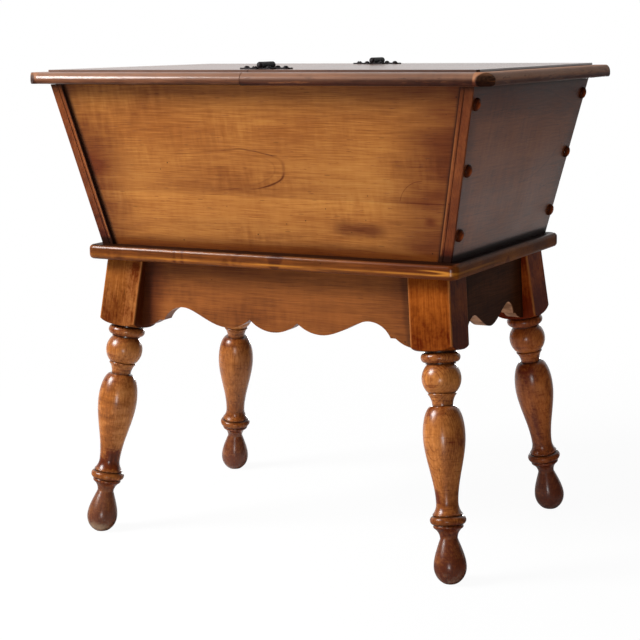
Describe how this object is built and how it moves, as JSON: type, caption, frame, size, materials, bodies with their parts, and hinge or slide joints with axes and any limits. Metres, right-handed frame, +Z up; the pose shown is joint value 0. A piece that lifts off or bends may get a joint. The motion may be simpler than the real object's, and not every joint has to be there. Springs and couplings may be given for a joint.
{
  "type": "dough box side table",
  "caption": "Early American dough-box side table: canted wooden bin under a half-hinged moulded top, on a platform with scalloped aprons and splayed turned legs.",
  "frame": {"origin": "on the floor, under the middle of the top", "axes": "+X along the length, with the hinged half of the top on the -X side; +Y from the front to the back; +Z up"},
  "size_m": [0.61, 0.43, 0.5936],
  "materials": {
    "top_maple": "satin lacquer over a nutmeg stain",
    "board_maple": "satin lacquer over a nutmeg stain, shaded darker at the edges",
    "base_maple": "satin lacquer over a nutmeg stain, sawn lower edges paler",
    "turned_maple": "satin lacquer over a nutmeg stain, darker in the hollows",
    "button_wood": "satin lacquer over a dark red-brown stain",
    "raw_wood": "plain sanded",
    "black_iron": "black, slightly hammered",
    "screw_steel": "zinc plated",
    "felt": "felt"
  },
  "bodies": {
    "chest": {"fixed_top": "top_maple", "top_batten": "raw_wood", "top_batten_screws": "screw_steel", "front_cleat": "raw_wood", "back_cleat": "raw_wood", "end_cleat": "raw_wood", "cleat_top_screws": "screw_steel", "cleat_board_screws": "screw_steel", "front_board": "board_maple", "back_board": "board_maple", "left_end_board": "board_maple", "right_end_board": "board_maple", "left_end_screws": "screw_steel", "right_end_screws": "screw_steel", "left_end_buttons": "button_wood", "right_end_buttons": "button_wood", "platform": "base_maple", "floor_screws": "screw_steel", "front_apron": "base_maple", "back_apron": "base_maple", "left_apron": "base_maple", "right_apron": "base_maple", "apron_dowels": "raw_wood", "brace_screws": "screw_steel", "hinge_fixed_screws": "black_iron", "front_hinge_fixed_leaf": "black_iron", "front_hinge_pin": "black_iron", "back_hinge_fixed_leaf": "black_iron", "back_hinge_pin": "black_iron", "front_right_leg": "turned_maple", "front_right_brace": "raw_wood", "front_left_leg": "turned_maple", "front_left_brace": "raw_wood", "back_right_leg": "turned_maple", "back_right_brace": "raw_wood", "back_left_leg": "turned_maple", "back_left_brace": "raw_wood"},
    "lid": {"lid": "top_maple", "inner_lid_batten": "raw_wood", "outer_lid_batten": "raw_wood", "lid_batten_screws": "screw_steel", "lid_pads": "felt", "front_hinge_lid_leaf": "black_iron", "back_hinge_lid_leaf": "black_iron", "hinge_lid_screws": "black_iron"}
  },
  "joints": [
    {"name": "lid_hinge", "type": "hinge", "parent": "chest", "child": "lid", "pos_m": [0, 0, 0.5895], "axis": [0, 1, 0], "range_deg": [0, 180]}
  ]
}
